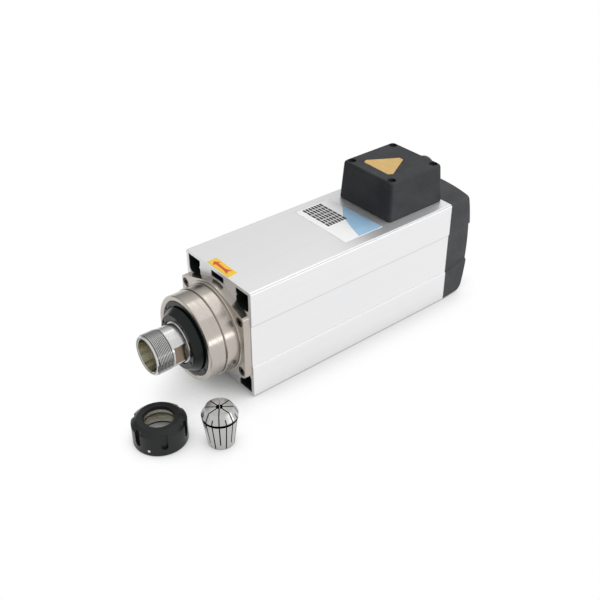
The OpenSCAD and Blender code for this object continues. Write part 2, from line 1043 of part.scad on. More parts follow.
// Terminal box

// Tapered block with round upright edges.
module box_block(inset, low, high) {
    r = 3.5 - inset / 2;
    foot = box_foot / 2 - inset - r;
    top = box_top / 2 - inset - r;
    // the upper edge is rounded off in three steps
    edge = [[0, box_edge_h], [0.5, 1.2], [1.8, 0.1]];
    hull()
        for (sx = [-1, 1], sy = [-1, 1]) {
            translate([sx * foot, box_y + sy * foot, low])
                cylinder(r = r, h = 0.5, $fn = 32);
            for (e = edge)
                translate([sx * (top - e[0]), box_y + sy * (top - e[0]), high - e[1]])
                    cylinder(r = r, h = 0.1, $fn = 32);
        }
}

// Section of the four screw posts, each filled out to its corner of the box.
module box_post_sections() {
    corner = 10;
    flat = box_post_r / 2;
    for (sx = [0, 1], sy = [0, 1])
        mirror([sx, 0, 0])
            mirror([0, sy, 0])
                translate([box_screw, box_screw]) {
                    circle(r = box_post_r);
                    translate([-flat, -flat])
                        square(corner + flat);
                }
}

module box_hood() {
    high = top_z + box_h;
    color([0.24, 0.25, 0.26])
        difference() {
            union() {
                difference() {
                    box_block(0, box_base_z, high);
                    difference() {
                        box_block(box_wall, box_base_z - 1, high - box_wall);
                        translate([0, box_y, box_base_z])
                            linear_extrude(height = box_h)
                                box_post_sections();
                    }
                }
                translate([0, 0, gland_z])
                    bar_y(gland_boss_r, gland_seat - gland_boss_t, gland_seat);
            }
            // screw holes with sunk heads
            for (sx = [-1, 1], sy = [-1, 1])
                translate([sx * box_screw, box_y + sy * box_screw, 0]) {
                    translate([0, 0, box_base_z - 1])
                        cylinder(r = m4_r + 0.2, h = box_h + 1);
                    translate([0, 0, high - box_screw_sink])
                        cylinder(r = box_recess_r, h = box_screw_sink + 1);
                }
            translate([0, 0, gland_z])
                bar_y(gland_thread_r + slide_fit, gland_seat - gland_boss_t - 1, gland_seat + 1);
        }
}

// Rubber frame between the hood and the housing, with an eye under every screw post.
module box_gasket() {
    r = 3.4;
    rim = 5;
    color([0.08, 0.08, 0.08])
        translate([0, box_y, top_z])
            linear_extrude(height = gasket_t)
                difference() {
                    round_rect(box_foot - 1, box_foot - 1, r);
                    difference() {
                        round_rect(box_foot - 1 - 2 * rim, box_foot - 1 - 2 * rim, 2);
                        box_post_sections();
                    }
                    for (sx = [-1, 1], sy = [-1, 1])
                        translate([sx * box_screw, sy * box_screw])
                            circle(r = m4_r + 0.2);
                }
}

module box_screws() {
    seat = top_z + box_h - box_screw_sink;
    color([0.12, 0.12, 0.13])
        for (sx = [-1, 1], sy = [-1, 1])
            translate([sx * box_screw, box_y + sy * box_screw, 0])
                difference() {
                    union() {
                        translate([0, 0, seat])
                            cylinder(r = m4_head_r, h = m4_head_h);
                        translate([0, 0, top_z - 7])
                            cylinder(r = m4_r - slide_fit, h = seat - top_z + 8);
                    }
                    translate([0, 0, seat + m4_head_h / 2])
                        cylinder(r = 1.75, h = m4_head_h, $fn = 6);
                }
}

// Connections inside the box

board_z = top_z + 5;
board_t = 4;
stud_r = 2;
board_w = 42;
board_d = 32;
stud_x = [-14, 0, 14];
stud_half_y = 10;
stud_len = 20;
stud_places = [for (x = stud_x, sy = [-1, 1]) [x, board_y + sy * stud_half_y]];

module terminal_board() {
    color([0.55, 0.2, 0.12])
        difference() {
            union() {
                translate([0, board_y, board_z])
                    linear_extrude(height = board_t)
                        round_rect(board_w, board_d, 2);
                for (sx = [-1, 1])
                    translate([sx * board_foot_x, board_y, top_z])
                        cylinder(r = 3.4, h = board_z - top_z + 1);
            }
            for (p = stud_places)
                translate([p[0], p[1], board_z - 1])
                    cylinder(r = stud_r + push_fit, h = board_t + 2);
            for (sx = [-1, 1])
                translate([sx * board_foot_x, board_y, top_z - 1])
                    cylinder(r = 1.6, h = board_t + 8);
        }
}

module terminal_studs() {
    color([0.8, 0.66, 0.35])
        for (p = stud_places)
            translate([p[0], p[1], board_z - 2.4]) {
                cylinder(r = stud_r, h = stud_len);
                cylinder(r = 3.4, h = 2.38);
            }
}

strap_t = 1;
strap_w = 8;
nut_t = 3.2;

module stud_nut(z) {
    for (p = stud_places)
        translate([p[0], p[1], z])
            difference() {
                cylinder(r = 3.5 / cos(30), h = nut_t, $fn = 6);
                translate([0, 0, -1])
                    cylinder(r = stud_r + slide_fit, h = nut_t + 2);
            }
}

module terminal_nuts() {
    color([0.78, 0.64, 0.34]) {
        stud_nut(board_z + board_t);
        stud_nut(board_z + board_t + nut_t + strap_t);
    }
}

// Flat links that bridge the studs in pairs.
module link_straps() {
    color([0.76, 0.6, 0.3])
        for (x = stud_x)
            translate([x, board_y, board_z + board_t + nut_t])
                linear_extrude(height = strap_t)
                    difference() {
                        round_rect(strap_w, 2 * stud_half_y + strap_w, strap_w / 2 - 0.1);
                        for (sy = [-1, 1])
                            translate([0, sy * stud_half_y])
                                circle(r = stud_r + slide_fit);
                    }
}

module earth_screw() {
    color([0.78, 0.64, 0.34])
        translate([earth_x, earth_y, top_z])
            difference() {
                union() {
                    cylinder(r = 4, h = 2.6);
                    translate([0, 0, -6])
                        cylinder(r = m4_r - slide_fit, h = 7);
                }
                translate([0, 0, 2.4])
                    cube([9, 1, 1.6], center = true);
            }
}

// Cable gland

module gland_body() {
    color([0.13, 0.13, 0.14])
        translate([0, 0, gland_z])
            difference() {
                union() {
                    hex_y(gland_hex_w, gland_seat, gland_seat + gland_hex_t);
                    bar_y(gland_thread_r, gland_seat - gland_tail, gland_seat + 1);
                    bar_y(gland_thread_r - 0.4, gland_seat + 1, gland_seat + gland_sleeve);
                }
                bar_y(gland_bore_r, gland_seat - gland_tail - 1, gland_seat + gland_sleeve + 1);
            }
}

// Round compression cap, opening towards the back.
module gland_cap() {
    front = gland_seat + gland_hex_t + 0.1;
    back = gland_seat + gland_sleeve + 4;
    inner = gland_thread_r - 0.4 + slide_fit;
    cap_r = 13;
    mouth = 6.6;
    color([0.13, 0.13, 0.14])
        translate([0, 0, gland_z])
            turned([
                [inner, front],
                [cap_r - 0.4, front],
                [cap_r, front + 0.5],
                [cap_r - 0.1, back - 5],
                [cap_r - 0.9, back - 2.2],
                [cap_r - 3.2, back],
                [mouth, back],
                [mouth, back - 1.6],
                [inner, back - 3.6]
            ]);
}

// Rubber sleeve that closes around the cable.
module gland_seal() {
    cable_r = 4.5;
    back = gland_seat + gland_sleeve + 1.5;
    color([0.05, 0.05, 0.05])
        translate([0, 0, gland_z])
            turned(ring_section(cable_r, gland_bore_r - push_fit, gland_seat + 0.5, back));
}

module gland_locknut() {
    inner = gland_seat - gland_boss_t;
    color([0.13, 0.13, 0.14])
        translate([0, 0, gland_z])
            difference() {
                hex_y(gland_nut_w, inner - gland_nut_t, inner);
                bar_y(gland_thread_r + slide_fit, inner - gland_nut_t - 1, inner + 1);
            }
}

// Loose clamping nut

nut_lip = 4.6;

// Nut body standing with its front opening upwards, threaded from below.
module clamping_nut() {
    thread_top = 13.5;
    nut_thread_r = thread_r + slide_fit;
    cavity_r = 17.6;
    notch_w = 6.2;
    notch_floor = 7;
    notch_depth = 2.6;
    first_notch = 38;
    dimple_r = 1.4;
    dimple_turn = -55;
    dimple_z = 5.5;
    color([0.2, 0.21, 0.2])
        translate([nut_x, nut_y, floor_z])
            difference() {
                rotate_extrude()
                    polygon([
                        [20.5, 0],
                        [nut_r - 0.8, 0],
                        [nut_r, 0.8],
                        [nut_r, nut_h - 4.8],
                        [nut_r - 1.8, nut_h - 3],
                        [nut_r - 5.5, nut_h],
                        [nut_mouth_r + 0.4, nut_h],
                        [nut_mouth_r, nut_h - 0.4],
                        [nut_mouth_r, nut_h - nut_lip],
                        [cavity_r, nut_h - nut_lip],
                        [cavity_r, thread_top],
                        [nut_thread_r, thread_top],
                        [nut_thread_r, 1.1]
                    ]);
                // six spanner notches, open to the top and round at the foot
                for (k = [0:5])
                    rotate([0, 0, first_notch + 60 * k])
                        translate([nut_r - notch_depth, 0, notch_floor + notch_w / 2]) {
                            translate([0, -notch_w / 2, 0])
                                cube([8, notch_w, nut_h]);
                            rotate([0, 90, 0])
                                cylinder(r = notch_w / 2, h = 8);
                        }
                // balancing dimple
                rotate([0, 0, dimple_turn])
                    translate([nut_r - 1.2, 0, dimple_z])
                        rotate([0, 90, 0])
                            cylinder(r = dimple_r, h = 4);
            }
}

// Ring that grips the collet groove, loose in its seat in the nut.
module extractor_ring() {
    low = 13.9;
    high = nut_h - nut_lip - 0.2;
    outer = 17.2;
    color([0.62, 0.62, 0.6])
        translate([nut_x, nut_y, floor_z])
            rotate_extrude()
                polygon([
                    [15.1, low],
                    [outer, low],
                    [outer, high],
                    [14.4, high],
                    [14.4, high - 2],
                    [15.6, high - 4]
                ]);
}

// Loose collet

// Slit spring collet standing on its small end.
module collet() {
    groove_top = collet_len - 8.2;
    groove_low = groove_top - 3;
    face_r = collet_r - 4.3;
    slit = 0.7;
    slit_floor = 6;
    head_slit = 8;
    foot_slit = 30.5;
    reach = collet_r + 1;
    foot_r = collet_r - 0.3 - groove_low * tan(taper_angle);
    color([0.78, 0.78, 0.78])
        translate([collet_x, collet_y, floor_z])
            difference() {
                rotate_extrude()
                    polygon([
                        [collet_bore, 0],
                        [foot_r - 0.6, 0],
                        [foot_r, 0.6],
                        [collet_r - 0.3, groove_low],
                        [collet_r - 2, groove_low + 0.3],
                        [collet_r - 2, groove_top - 0.3],
                        [collet_r, groove_top],
                        [collet_r, groove_top + 0.8],
                        [face_r + 0.4, collet_len - 0.3],
                        [face_r, collet_len],
                        [collet_bore, collet_len]
                    ]);
                // slits from the head, stopping above the foot
                for (k = [0:3])
                    rotate([0, 0, 45 * k + head_slit])
                        translate([-reach, -slit / 2, slit_floor])
                            cube([2 * reach, slit, collet_len]);
                // slits from the foot, stopping in the head
                for (k = [0:3])
                    rotate([0, 0, 45 * k + foot_slit])
                        translate([-reach, -slit / 2, -1])
                            cube([2 * reach, slit, groove_top + 4]);
            }
}

motor_body();
bearing_housing();
flange_screws();
front_lock_ring();
labyrinth_hub();
spindle_shaft();
front_outer_rings();
front_inner_rings();
front_balls_a();
front_cage_a();
front_balls_b();
front_cage_b();
bearing_locknut();
rotor_core();
rotor_cage();
stator_core();
stator_windings();
rear_shield();
shield_screws();
rear_outer_ring();
rear_inner_ring();
rear_balls();
rear_cage();
preload_spring();
cooling_fan();
fan_nut();
rear_cover();
rear_cover_screws();
box_hood();
box_gasket();
box_screws();
terminal_board();
terminal_studs();
terminal_nuts();
link_straps();
earth_screw();
gland_body();
gland_cap();
gland_seal();
gland_locknut();
clamping_nut();
extractor_ring();
collet();
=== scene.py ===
from math import cos, pi, radians, sin

import bmesh
import bpy
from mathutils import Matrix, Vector


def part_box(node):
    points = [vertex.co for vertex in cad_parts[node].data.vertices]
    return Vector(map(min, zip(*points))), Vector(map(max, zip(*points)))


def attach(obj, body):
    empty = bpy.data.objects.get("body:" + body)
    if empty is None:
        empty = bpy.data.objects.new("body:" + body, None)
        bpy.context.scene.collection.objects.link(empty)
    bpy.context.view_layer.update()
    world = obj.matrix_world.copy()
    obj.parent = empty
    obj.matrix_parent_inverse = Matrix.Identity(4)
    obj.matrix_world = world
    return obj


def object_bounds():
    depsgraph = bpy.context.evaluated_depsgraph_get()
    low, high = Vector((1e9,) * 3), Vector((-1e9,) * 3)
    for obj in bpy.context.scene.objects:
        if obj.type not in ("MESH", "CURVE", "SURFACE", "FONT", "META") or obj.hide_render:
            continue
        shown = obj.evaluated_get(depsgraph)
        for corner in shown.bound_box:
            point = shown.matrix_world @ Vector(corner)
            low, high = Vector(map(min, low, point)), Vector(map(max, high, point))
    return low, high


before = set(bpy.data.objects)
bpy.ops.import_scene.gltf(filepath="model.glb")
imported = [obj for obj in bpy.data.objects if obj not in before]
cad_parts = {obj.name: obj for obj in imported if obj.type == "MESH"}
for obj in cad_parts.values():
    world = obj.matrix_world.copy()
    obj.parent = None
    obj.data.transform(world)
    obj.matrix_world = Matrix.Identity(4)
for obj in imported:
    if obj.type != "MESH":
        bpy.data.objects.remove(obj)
cad_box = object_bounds()


# Extruded housing: one length of aluminium section, cut square, drilled and tapped at both
# ends and satin anodised. Its corner channels carry the cooling air, and painted shade
# darkens them inside.
housing_low, housing_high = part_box("motor_body")
housing_silver = (0.82, 0.82, 0.83)
housing_bright = (0.86, 0.86, 0.865)
side_wall = 0.0027
# Painted shade darkens the channels from the cut front face inwards.
channel_painted_shade = (0.075, 0.092, 0.085)
channel_shade_start = 0.0002
channel_shade_end = 0.0012
# A sunk band runs along each side, band_edge above and below the axis. A painted shade lies
# under its upper edge, and its lower edge is a bright ledge of painted highlight.
band_edge = 0.0233
band_shade = 0.0018
band_painted_shade = (0.66, 0.66, 0.67)
ledge_line = 0.0008
ledge_painted_highlight = (0.97, 0.97, 0.97)
# Painted shade along the top outer corner edges tones down their highlight.
corner_line = 0.0012
corner_painted_shade = (0.60, 0.60, 0.61)
soft_edge = 0.0003
edge_samples = 6
noise_low, noise_high = 0.3, 0.7


def new_finish(name, colour, metal, rough):
    finish = bpy.data.materials.new(name)
    finish.use_nodes = True
    shader = finish.node_tree.nodes["Principled BSDF"]
    shader.inputs["Base Color"].default_value = (*colour, 1)
    shader.inputs["Metallic"].default_value = metal
    shader.inputs["Roughness"].default_value = rough
    return finish


def shader_of(finish):
    return finish.node_tree.nodes["Principled BSDF"]


def step(owner, kind, feeds, **settings):
    """Adds one shading step to a finish or a surround.

    A feed is a plain value or the output of an earlier step.
    """
    made = owner.node_tree.nodes.new("ShaderNode" + kind)
    for name, value in settings.items():
        setattr(made, name, value)
    for socket, value in feeds.items():
        if isinstance(value, bpy.types.NodeSocket):
            owner.node_tree.links.new(value, made.inputs[socket])
        else:
            made.inputs[socket].default_value = value
    return made


def place_on(finish):
    return step(finish, "TexCoord", {}).outputs["Object"]


def sideways(finish):
    """Distance to the left or right of the upright middle plane."""
    across = step(finish, "SeparateXYZ", {"Vector": place_on(finish)}).outputs["X"]
    return step(finish, "Math", {0: across}, operation="ABSOLUTE").outputs[0]


def mottle(finish, place, spots, low, high, detail=3.0):
    """Soft random variation between low and high; spots are per metre along x, y, z."""
    spread = step(finish, "VectorMath", {0: place, 1: spots}, operation="MULTIPLY")
    noise = step(finish, "TexNoise", {"Vector": spread.outputs[0], "Scale": 1.0, "Detail": detail})
    feeds = {"Value": noise.outputs["Fac"], "From Min": noise_low, "From Max": noise_high,
             "To Min": low, "To Max": high}
    return step(finish, "MapRange", feeds).outputs["Result"]


def tint(finish, amount, colour):
    """Turns the finish towards a colour by an amount that varies over the surface."""
    base = shader_of(finish).inputs["Base Color"]
    before = base.links[0].from_socket if base.links else tuple(base.default_value)
    mix = step(finish, "Mix", {0: amount, 6: before, 7: (*colour, 1)}, data_type="RGBA")
    finish.node_tree.links.new(mix.outputs[2], base)


def feed(finish, socket, value):
    finish.node_tree.links.new(value, shader_of(finish).inputs[socket])


def relief(finish, height, depth, edge=soft_edge):
    """Raises and sinks the surface by up to depth metres, and softens its sharp edges."""
    soft = step(finish, "Bevel", {"Radius": edge}, samples=edge_samples).outputs["Normal"]
    feeds = {"Height": height, "Distance": depth, "Strength": 1.0, "Normal": soft}
    feed(finish, "Normal", step(finish, "Bump", feeds).outputs["Normal"])


def mottled_finish(name, colour, light, metal, rough, clouds, wear, grain, depth,
                   light_share=1.0, detail=3.0, edge=soft_edge):
    """Colour that varies in clouds, gloss in patches of wear, and height in a grain.

    clouds, wear and grain are spots per metre along x, y, z; rough is a range.
    """
    finish = new_finish(name, colour, metal, sum(rough) / 2)
    place = place_on(finish)
    tint(finish, mottle(finish, place, clouds, 0.0, light_share, detail), light)
    feed(finish, "Roughness", mottle(finish, place, wear, *rough))
    relief(finish, mottle(finish, place, grain, 0.0, 1.0, detail), depth, edge)
    return finish


def within(finish, value, low, high):
    """One where a value lies between low and high, and zero elsewhere."""
    feeds = {0: value, 1: (low + high) / 2, 2: (high - low) / 2}
    return step(finish, "Math", feeds, operation="COMPARE").outputs[0]


def both(finish, one, other):
    return step(finish, "Math", {0: one, 1: other}, operation="MULTIPLY").outputs[0]


def dress(node, finish):
    """Gives a CAD node its finish."""
    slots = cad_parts[node].data.materials
    slots.clear()
    slots.append(finish)


def satin_anodised():
    finish = mottled_finish("satin_anodised", housing_silver, housing_bright, metal=0.72,
                            rough=(0.29, 0.39), clouds=(260, 4, 260), wear=(700, 10, 700),
                            grain=(1500, 8, 1500), depth=0.0000015, light_share=0.35, edge=0.0001)
    spot = step(finish, "SeparateXYZ", {"Vector": place_on(finish)}).outputs
    width = sideways(finish)
    outer = within(finish, width, housing_high.x - side_wall / 2, housing_high.x + side_wall)
    # Painted shade under the upper edge of the sunk side band.
    under = within(finish, spot["Z"], band_edge - band_shade, band_edge)
    tint(finish, both(finish, outer, under), band_painted_shade)
    # Painted highlight along the lower ledge of the sunk side band.
    ledge = within(finish, spot["Z"], -band_edge - ledge_line, -band_edge)
    tint(finish, both(finish, outer, ledge), ledge_painted_highlight)
    # Painted shade on the top outer corner edges of the housing.
    corner_side = within(finish, width, housing_high.x - corner_line, housing_high.x + side_wall)
    corner_top = within(finish, spot["Z"], housing_high.z - corner_line,
                        housing_high.z + side_wall)
    tint(finish, both(finish, corner_side, corner_top), corner_painted_shade)
    # Painted shade inside the corner channels, deepening from the cut front face inwards.
    inside_x = within(finish, spot["X"], housing_low.x + side_wall, housing_high.x - side_wall)
    inside_z = within(finish, spot["Z"], housing_low.z + side_wall, housing_high.z - side_wall)
    feeds = {"Value": spot["Y"], "From Min": channel_shade_start, "From Max": channel_shade_end}
    sunk = step(finish, "MapRange", feeds).outputs["Result"]
    tint(finish, both(finish, both(finish, inside_x, inside_z), sunk), channel_painted_shade)
    return finish


dress("motor_body", satin_anodised())


# Stator: a stack of stamped electrical steel sheets pressed into the housing, with varnished
# copper wire in its slots and laced coil ends on both sides.
sheet_edges = (30, 2000, 30)
wire_strands = (1300, 260, 1300)
stacked_sheets = mottled_finish("stacked_sheets", (0.20, 0.21, 0.23), (0.34, 0.35, 0.37),
                                metal=0.9, rough=(0.35, 0.6), clouds=sheet_edges,
                                wear=(60, 60, 60), grain=sheet_edges, depth=0.00005, detail=1.0)
varnished_wire = mottled_finish("varnished_wire", (0.42, 0.16, 0.06), (0.62, 0.28, 0.11),
                                metal=0.6, rough=(0.2, 0.42), clouds=wire_strands,
                                wear=(90, 90, 90), grain=wire_strands, depth=0.0003, detail=2.0)
dress("stator_core", stacked_sheets)
dress("stator_windings", varnished_wire)


# Rotor: the same sheets on the shaft, with bars and end rings of cast aluminium poured
# through the stack.
rough_cast = mottled_finish("cast_aluminium", (0.52, 0.53, 0.54), (0.64, 0.65, 0.66),
                            metal=0.85, rough=(0.42, 0.62), clouds=(180, 180, 180),
                            wear=(300, 300, 300), grain=(900, 900, 900), depth=0.00006)
dress("rotor_core", stacked_sheets)
dress("rotor_cage", rough_cast)


# Spindle shaft: hardened steel, turned all over, then ground on the nose, with two spanner
# flats milled in and a polished taper inside for the collet.
shaft_axis = (0.0, 0.0, 0.0)
nose_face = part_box("spindle_shaft")[0].y
# Radii and places along the axis of the rim, the taper inside it, the flats and the thread.
nose_rim = 0.0178
rim_depth = 0.0002
rim_slack = 0.0001
# The nose's flat front rim is painted dark, as shade.
nose_rim_painted_shade = (0.20, 0.20, 0.19)
taper_mouth = 0.0160
taper_start = nose_face + 0.0004
taper_warm = (0.52, 0.50, 0.41)
flat_depth = 0.0169
flat_slack = 0.0003
flat_reach = 0.0190
flat_start = nose_face + 0.0187
flat_end = nose_face + 0.0317
flat_brown = (0.24, 0.19, 0.14)
nose_root = 0.0194
nose_crest = 0.0200
nose_thread_start = nose_face + 0.0010
nose_thread_end = nose_face + 0.0169
thread_slack = 0.0005
# Painted shade in the grooves of the nose thread, deepening towards the root.
thread_groove_painted_shade = (0.15, 0.15, 0.145)
groove_shade_start = nose_crest - 0.00003
groove_shade_end = nose_root + 0.0001
# How the lathe's rings and soft clouds vary the steel.
cloud_spots = (30, 30, 30)
cloud_least, cloud_most = 0.15, 0.45
lathe_detail = 4.0
lathe_depth = 0.000006
lathe_stretch = 0.65
lathe_quarter_turn = 0.25
dull_ring_width = 4
dull_least, dull_most = 0.8, 1.25


def around(finish, middle, axis):
    """Distance from an axis through middle, and distance along it, in metres."""
    moved = step(finish, "VectorMath", {0: place_on(finish), 1: middle}, operation="SUBTRACT")
    off_axis = (1, 0, 1) if axis == "Y" else (1, 1, 0)
    out = step(finish, "VectorMath", {0: moved.outputs[0], 1: off_axis}, operation="MULTIPLY")
    radius = step(finish, "VectorMath", {0: out.outputs[0]}, operation="LENGTH").outputs["Value"]
    spot = step(finish, "SeparateXYZ", {"Vector": moved.outputs[0]}).outputs
    return radius, spot[axis]


def ring_zone(finish, radius, radii, along, stretch):
    """Marks what lies between two radii and between two places along the axis."""
    return both(finish, within(finish, radius, *radii), within(finish, along, *stretch))


def turned_steel(name, colour, light, rough, middle, axis, marks, depth=lathe_depth):
    """Steel with fine rings left by the lathe around an axis, so many marks per metre."""
    finish = new_finish(name, colour, 1.0, rough)
    radius, along = around(finish, middle, axis)
    rings = step(finish, "CombineXYZ", {"X": radius, "Y": along}).outputs[0]
    lathe = mottle(finish, rings, (marks, marks, 1), 0.0, 1.0, lathe_detail)
    cloud = mottle(finish, place_on(finish), cloud_spots, cloud_least, cloud_most)
    tint(finish, cloud, light)
    tint(finish, both(finish, lathe, cloud), light)
    dull_marks = marks / dull_ring_width
    feed(finish, "Roughness", mottle(finish, rings, (dull_marks, dull_marks, 1),
                                     rough * dull_least, rough * dull_most))
    relief(finish, lathe, depth)
    shader = shader_of(finish)
    shader.inputs["Anisotropic"].default_value = lathe_stretch
    shader.inputs["Anisotropic Rotation"].default_value = lathe_quarter_turn
    turning = step(finish, "Tangent", {}, direction_type="RADIAL", axis=axis)
    feed(finish, "Tangent", turning.outputs["Tangent"])
    return finish


def ground_shaft():
    finish = turned_steel("ground_shaft", (0.55, 0.55, 0.54), (0.68, 0.68, 0.67), rough=0.20,
                          middle=shaft_axis, axis="Y", marks=1600, depth=0.000001)
    radius, along = around(finish, shaft_axis, "Y")
    on_flat = within(finish, sideways(finish), 0.0, flat_depth)
    milled = both(finish, on_flat, within(finish, along, flat_start, flat_end))
    outside = within(finish, radius, flat_depth - flat_slack, flat_reach)
    tint(finish, both(finish, milled, outside), flat_brown)
    in_taper = ring_zone(finish, radius, (0.0, taper_mouth), along, (taper_start, 0.0))
    tint(finish, in_taper, taper_warm)
    rim = ring_zone(finish, radius, (taper_mouth, nose_rim), along,
                    # Painted shade on the flat front rim of the nose.
                    (nose_face - rim_slack, nose_face + rim_depth))
    tint(finish, rim, nose_rim_painted_shade)
    # Painted shade in the thread's grooves, darker towards the root.
    feeds = {"Value": radius, "From Min": groove_shade_start, "From Max": groove_shade_end}
    groove = step(finish, "MapRange", feeds).outputs["Result"]
    threaded = ring_zone(finish, radius, (nose_root - thread_slack, nose_crest + thread_slack),
                         along, (nose_thread_start, nose_thread_end))
    tint(finish, both(finish, groove, threaded), thread_groove_painted_shade)
    return finish


shaft_steel = ground_shaft()
dress("spindle_shaft", shaft_steel)


# Nose thread: cut on the lathe, one right-handed ridge of 1.5 mm pitch that runs around the
# nose and fades out at both ends. The clamping nut screws onto it.
thread_pitch = 0.0015
half_foot = 0.46 * thread_pitch
half_crest = 0.10 * thread_pitch
steps_per_turn = 72
fade_steps = steps_per_turn / 3
least_height = 0.02


def closed_piece(name, rows, finish):
    """Joins rows of points into one closed piece, whose ends are the first and last row."""
    shape = bmesh.new()
    rows = [[shape.verts.new(point) for point in row] for row in rows]
    corners = len(rows[0])
    for one, two in zip(rows, rows[1:]):
        for i in range(corners):
            j = (i + 1) % corners
            shape.faces.new((one[i], one[j], two[j], two[i]))
    shape.faces.new(rows[0])
    shape.faces.new(rows[-1])
    bmesh.ops.recalc_face_normals(shape, faces=shape.faces)
    mesh = bpy.data.meshes.new(name)
    shape.to_mesh(mesh)
    shape.free()
    mesh.materials.append(finish)
    piece = bpy.data.objects.new(name, mesh)
    bpy.context.scene.collection.objects.link(piece)
    return piece


def thread_ridge(name, middle, axis, root, crest, start, end, finish):
    """One ridge wound around an axis; a crest inside the root makes an inner thread."""
    turns = (end - start - 2 * half_foot) / thread_pitch
    count = int(turns * steps_per_turn)
    rows = []
    for k in range(count + 1):
        turn = 2 * pi * k / steps_per_turn
        along = start + half_foot + thread_pitch * k / steps_per_turn
        fade = min(1.0, k / fade_steps, (count - k) / fade_steps)
        high = root + (crest - root) * max(fade, least_height)
        row = []
        for radius, shift in ((root, -half_foot), (high, -half_crest),
                              (high, half_crest), (root, half_foot)):
            x, y = radius * cos(turn), radius * sin(turn)
            spot = (x, along + shift, -y) if axis == "Y" else (x, y, along + shift)
            row.append(Vector(middle) + Vector(spot))
        rows.append(row)
    return closed_piece(name, rows, finish)


nose_thread = thread_ridge("nose_thread", shaft_axis, "Y", nose_root, nose_crest,
                           nose_thread_start, nose_thread_end, shaft_steel)
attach(nose_thread, "rotor")


# Rolling bearings: ground rings and balls of bearing steel with turned brass cages. Two
# stand side by side in the front housing, one sits in the rear shield.
bearing_steel = turned_steel("bearing_steel", (0.60, 0.60, 0.62), (0.70, 0.70, 0.72),
                             rough=0.14, middle=shaft_axis, axis="Y", marks=1200)
cage_brass = mottled_finish("turned_brass", (0.55, 0.36, 0.12), (0.68, 0.47, 0.18), metal=1.0,
                            rough=(0.22, 0.42), clouds=(120, 700, 120), wear=(200, 900, 200),
                            grain=(300, 2500, 300), depth=0.00001)
for node in ("front_outer_rings", "front_inner_rings", "front_balls_a", "front_balls_b",
             "rear_outer_ring", "rear_inner_ring", "rear_balls"):
    dress(node, bearing_steel)
for node in ("front_cage_a", "front_cage_b", "rear_cage"):
    dress(node, cage_brass)


# Small steel parts that hold the bearings: a slotted locknut behind the front pair and a
# dished spring washer behind the rear bearing.
plain_steel = turned_steel("plain_steel", (0.40, 0.41, 0.42), (0.50, 0.51, 0.52), rough=0.32,
                           middle=shaft_axis, axis="Y", marks=900)
dress("bearing_locknut", plain_steel)
dress("preload_spring", plain_steel)


# Front bearing housing: one steel turning with an eared flange, nickel plated. The lathe
# marks run round the barrel and round the front of the flange.
nickel = turned_steel("nickel_turning", (0.455, 0.418, 0.375), (0.54, 0.50, 0.455), rough=0.23,
                      middle=shaft_axis, axis="Y", marks=1100, depth=0.0000005)
dress("bearing_housing", nickel)


# Socket head screws of the flange: black oxide steel with a hexagon socket, sunk into
# counterbores in the four ears.
oxide_wear = 1.6
oxide_marks = 1500
oxide_depth = 0.000002
oxide_metal = 0.35
oxide_stretch = 0.2
oxide_shine = 0.3


def black_oxide(name, colour, rough, middle, axis):
    """Turned steel under a thin black skin, which is lighter where it is worn."""
    worn = tuple(oxide_wear * part for part in colour)
    finish = turned_steel(name, colour, worn, rough, middle, axis, oxide_marks, oxide_depth)
    shader = shader_of(finish)
    shader.inputs["Metallic"].default_value = oxide_metal
    shader.inputs["Anisotropic"].default_value = oxide_stretch
    shader.inputs["Specular IOR Level"].default_value = oxide_shine
    return finish


screw_black = black_oxide("black_screw_steel", (0.016, 0.016, 0.017), 0.34, shaft_axis, "Y")
dress("flange_screws", screw_black)


# Lock ring and hub: both turned from steel and blackened. The ring screws into the barrel,
# the cone turns with the shaft; pin holes in both take a pin spanner.
ring_black = black_oxide("glossy_black_oxide", (0.008, 0.010, 0.010), 0.21, shaft_axis, "Y")
dress("front_lock_ring", ring_black)
dress("labyrinth_hub", ring_black)


# Rear shield: cast aluminium, screwed to the back of the housing. It carries the rear
# bearing, and the fan turns behind it.
dress("rear_shield", rough_cast)
dress("shield_screws", plain_steel)


# Fan and nut: a moulded nylon wheel pressed on the tail of the shaft, held by a steel nut
# that is turned like the other plain steel parts.
black_nylon = mottled_finish("moulded_nylon", (0.018, 0.018, 0.020), (0.028, 0.028, 0.030),
                             metal=0.0, rough=(0.36, 0.52), clouds=(60, 60, 60),
                             wear=(400, 400, 400), grain=(2600, 2600, 2600), depth=0.00003)
dress("cooling_fan", black_nylon)
dress("fan_nut", plain_steel)


# Rear cover: moulded in charcoal plastic with a fine grain that comes from the mould, and
# held by four black screws.
cover_charcoal = (0.038, 0.039, 0.043)
cover_worn = (0.070, 0.071, 0.077)
plastic_rough = (0.38, 0.56)
plastic_shine = 0.14
worn_patches = (35, 35, 35)
worn_patch_share = 0.7
dull_patches = (700, 700, 700)
grain_spots = (1100, 1100, 1100)
grain_depth = 0.00006
worn_grain = (90, 90, 90)
worn_grain_share = 0.5


def grained_moulding(name, colour, worn):
    finish = new_finish(name, colour, 0.0, sum(plastic_rough) / 2)
    place = place_on(finish)
    tint(finish, mottle(finish, place, worn_patches, 0.0, worn_patch_share), worn)
    grain = mottle(finish, place, grain_spots, 0.0, 1.0, detail=1.0)
    rubbed = mottle(finish, place, worn_grain, 0.0, worn_grain_share)
    tint(finish, both(finish, grain, rubbed), worn)
    feed(finish, "Roughness", mottle(finish, place, dull_patches, *plastic_rough))
    relief(finish, grain, grain_depth)
    shader_of(finish).inputs["Specular IOR Level"].default_value = plastic_shine
    return finish


dress("rear_cover", grained_moulding("cover_moulding", cover_charcoal, cover_worn))
dress("rear_cover_screws", screw_black)


